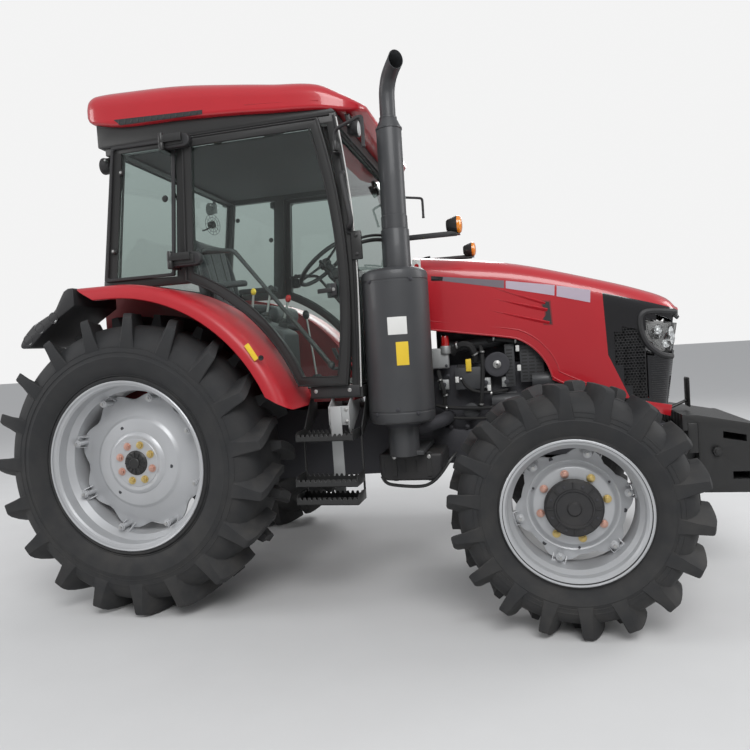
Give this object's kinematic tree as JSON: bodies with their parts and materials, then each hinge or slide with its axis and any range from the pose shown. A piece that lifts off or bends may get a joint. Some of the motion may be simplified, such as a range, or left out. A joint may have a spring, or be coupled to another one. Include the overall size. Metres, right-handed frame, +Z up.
{
  "type": "farm tractor",
  "caption": "Four-wheel farm tractor with a glazed cab, tall lugged tyres, an upright side exhaust, front weights and a rear lift linkage.",
  "frame": {"origin": "on the ground under the middle of the tractor's box", "axes": "+X ahead, +Y to the driver's left, +Z up"},
  "size_m": [4.3201, 2.2632, 2.925],
  "materials": {
    "red_paint": "gloss",
    "black_paint": "satin",
    "dark_paint": "satin",
    "grey_paint": "satin",
    "rim_silver": "satin",
    "dark_iron": "painted",
    "steel": "satin",
    "black_plastic": "matte",
    "tyre": "matte",
    "fabric": "woven",
    "glass": "clear",
    "lamp_clear": "clear",
    "lamp_red": "gloss"
  },
  "bodies": {
    "chassis": {"gearbox": "dark_iron", "front_frame": "dark_iron", "front_axle": "dark_iron", "engine": "dark_iron", "engine_fittings": "grey_paint", "radiator": "black_plastic", "muffler": "dark_paint", "exhaust_stack": "dark_paint", "cab_frame": "black_paint", "cab_floor": "red_paint", "cowl": "black_plastic", "roof": "red_paint", "windscreen": "glass", "rear_window": "glass", "quarter_windows": "glass", "fender_R": "red_paint", "fender_L": "red_paint", "fender_tail_R": "black_plastic", "fender_tail_L": "black_plastic", "rear_lamps": "lamp_red", "steps_R": "steel", "steps_L": "steel", "fuel_tanks": "black_plastic", "mirrors": "black_plastic", "signal_lamps": "black_plastic", "work_lamps": "black_plastic", "dash": "black_plastic", "seat_base": "black_plastic", "seat_cushion": "fabric", "front_weights": "black_paint", "weight_carrier": "black_paint", "drawbar": "steel", "pto_shaft": "steel"},
    "knuckle_R": {"knuckle_R": "dark_iron"},
    "knuckle_L": {"knuckle_L": "dark_iron"},
    "wheel_rear_R": {"tyre_rear_R": "tyre", "rim_rear_R": "rim_silver"},
    "wheel_rear_L": {"tyre_rear_L": "tyre", "rim_rear_L": "rim_silver"},
    "wheel_front_R": {"tyre_front_R": "tyre", "rim_front_R": "rim_silver"},
    "wheel_front_L": {"tyre_front_L": "tyre", "rim_front_L": "rim_silver"},
    "door_R": {"door_R": "black_paint", "door_glass_R": "glass"},
    "door_L": {"door_L": "black_paint", "door_glass_L": "glass"},
    "bonnet": {"hood": "red_paint", "nose": "black_plastic", "headlamps": "lamp_clear"},
    "steering_wheel": {"steering_wheel": "black_plastic"},
    "lower_links": {"lower_links": "dark_iron"},
    "lift_arms": {"lift_arms": "dark_iron"},
    "lift_rods": {"lift_rods": "steel"}
  },
  "joints": [
    {"name": "rear_wheel_R", "type": "hinge", "parent": "chassis", "child": "wheel_rear_R", "pos_m": [-1.14016, -0.83, 0.815], "axis": [0, 1, 0], "continuous": true},
    {"name": "steer_R", "type": "hinge", "parent": "chassis", "child": "knuckle_R", "pos_m": [1.13984, -0.77, 0.575], "axis": [0, 0, 1], "range_deg": [-35, 35]},
    {"name": "front_wheel_R", "type": "hinge", "parent": "knuckle_R", "child": "wheel_front_R", "pos_m": [1.13984, -0.968, 0.575], "axis": [0, 1, 0], "continuous": true},
    {"name": "door_R_hinge", "type": "hinge", "parent": "chassis", "child": "door_R", "pos_m": [-0.90516, -0.83, 1.905], "axis": [0, 0, -1], "range_deg": [0, 78]},
    {"name": "rear_wheel_L", "type": "hinge", "parent": "chassis", "child": "wheel_rear_L", "pos_m": [-1.14016, 0.83, 0.815], "axis": [0, 1, 0], "continuous": true},
    {"name": "steer_L", "type": "hinge", "parent": "chassis", "child": "knuckle_L", "pos_m": [1.13984, 0.77, 0.575], "axis": [0, 0, 1], "range_deg": [-35, 35]},
    {"name": "front_wheel_L", "type": "hinge", "parent": "knuckle_L", "child": "wheel_front_L", "pos_m": [1.13984, 0.968, 0.575], "axis": [0, 1, 0], "continuous": true},
    {"name": "door_L_hinge", "type": "hinge", "parent": "chassis", "child": "door_L", "pos_m": [-0.90516, 0.83, 1.905], "axis": [0, 0, 1], "range_deg": [0, 78]},
    {"name": "bonnet_hinge", "type": "hinge", "parent": "chassis", "child": "bonnet", "pos_m": [0.35984, 0, 1.85], "axis": [0, -1, 0], "range_deg": [0, 50]},
    {"name": "steering_column", "type": "hinge", "parent": "chassis", "child": "steering_wheel", "pos_m": [-0.28016, 0, 1.93], "axis": [-0.6293, 0, 0.7771], "range_deg": [-420, 420]},
    {"name": "links_lift", "type": "hinge", "parent": "chassis", "child": "lower_links", "pos_m": [-1.34016, 0, 0.6], "axis": [0, 1, 0], "range_deg": [-16, 12]},
    {"name": "arms_lift", "type": "hinge", "parent": "chassis", "child": "lift_arms", "pos_m": [-1.44016, 0, 1.11], "axis": [0, 1, 0], "range_deg": [-16, 12]},
    {"name": "rods_swing", "type": "hinge", "parent": "lift_arms", "child": "lift_rods", "pos_m": [-1.81808, 0, 1.14972], "axis": [0, 1, 0], "range_deg": [-12, 16]}
  ],
  "couplings": [
    {"joint": "steer_L", "follows": "steer_R", "ratio": 1},
    {"joint": "steering_column", "follows": "steer_R", "ratio": 12},
    {"joint": "arms_lift", "follows": "links_lift", "ratio": 1},
    {"joint": "rods_swing", "follows": "links_lift", "ratio": -1}
  ]
}
